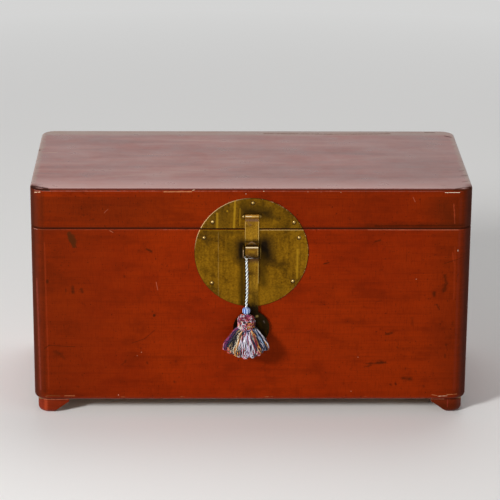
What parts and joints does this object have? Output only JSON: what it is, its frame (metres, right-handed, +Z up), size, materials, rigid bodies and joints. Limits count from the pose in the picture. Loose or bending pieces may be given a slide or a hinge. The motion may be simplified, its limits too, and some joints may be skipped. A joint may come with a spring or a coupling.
{
  "type": "lacquered wedding chest",
  "caption": "Lacquered wooden storage chest with a hinged lid, round brass lock plate, swinging hasp with a yarn tassel, short bracket feet and side handles.",
  "frame": {"origin": "on the floor under the middle of the chest: centre of the box round the part without its tassel, at the feet", "axes": "+X to the right along the chest, as seen from the front; -Y out of the front, the side with the lock plate; +Z up"},
  "size_m": [0.7776, 0.4197, 0.4149],
  "materials": {
    "lacquer": "red-brown lacquer, glossy, worn at the edges",
    "bare_wood": "bare aged wood, satin",
    "brass": "aged brass, mottled",
    "dark_brass": "dark aged brass",
    "cord": "twisted thread",
    "bead": "thread-wound bead, striped",
    "yarn_head": "small loops of knotted yarn, mixed colours",
    "yarn_skirt": "thick yarn loops, mixed colours"
  },
  "bodies": {
    "chest": {"body_front": "lacquer", "body_back": "lacquer", "body_left": "lacquer", "body_right": "lacquer", "body_bottom": "bare_wood", "rim_front": "bare_wood", "rim_back": "bare_wood", "rim_left": "bare_wood", "rim_right": "bare_wood", "foot_front_left": "lacquer", "foot_front_right": "lacquer", "foot_back_left": "lacquer", "foot_back_right": "lacquer", "body_lock_plate": "brass", "body_plate_nails": "brass", "lock_ears": "dark_brass", "hinge_body_leaf_left": "brass", "hinge_body_leaf_right": "brass", "hinge_pins": "dark_brass", "hinge_body_nails": "brass", "handle_plate_left": "brass", "handle_plate_right": "brass", "handle_posts_left": "dark_brass", "handle_posts_right": "dark_brass", "handle_nails": "brass"},
    "lid": {"lid_top": "lacquer", "lid_front": "lacquer", "lid_back": "lacquer", "lid_left": "lacquer", "lid_right": "lacquer", "lid_battens": "bare_wood", "lid_lock_plate": "brass", "lid_plate_nails": "brass", "hasp_eyes": "dark_brass", "hasp_pin": "brass", "hinge_lid_leaf_left": "brass", "hinge_lid_leaf_right": "brass", "hinge_lid_nails": "brass"},
    "hasp": {"hasp_strap": "brass", "hasp_bridge": "brass", "cord_hitch": "cord"},
    "tassel": {"tassel_cord": "cord", "tassel_bead": "bead", "tassel_head": "yarn_head", "tassel_skirt": "yarn_skirt"},
    "left_handle": {"handle_bail_left": "dark_brass"},
    "right_handle": {"handle_bail_right": "dark_brass"}
  },
  "joints": [
    {"name": "lid_hinge", "type": "hinge", "parent": "chest", "child": "lid", "pos_m": [0, 0.19098, 0.34265], "axis": [-1, 0, 0], "range_deg": [0, 105]},
    {"name": "hasp_swing", "type": "hinge", "parent": "lid", "child": "hasp", "pos_m": [0.0005, -0.18532, 0.3674], "axis": [-1, 0, 0], "range_deg": [0, 165]},
    {"name": "tassel_swing", "type": "hinge", "parent": "hasp", "child": "tassel", "pos_m": [-0.0085, -0.18952, 0.2917], "axis": [-1, 0, 0], "range_deg": [0, 80]},
    {"name": "left_handle_swing", "type": "hinge", "parent": "chest", "child": "left_handle", "pos_m": [-0.3854, 0.00367, 0.216], "axis": [0, 1, 0], "range_deg": [0, 95]},
    {"name": "right_handle_swing", "type": "hinge", "parent": "chest", "child": "right_handle", "pos_m": [0.3854, 0.00367, 0.216], "axis": [0, -1, 0], "range_deg": [0, 95]}
  ]
}
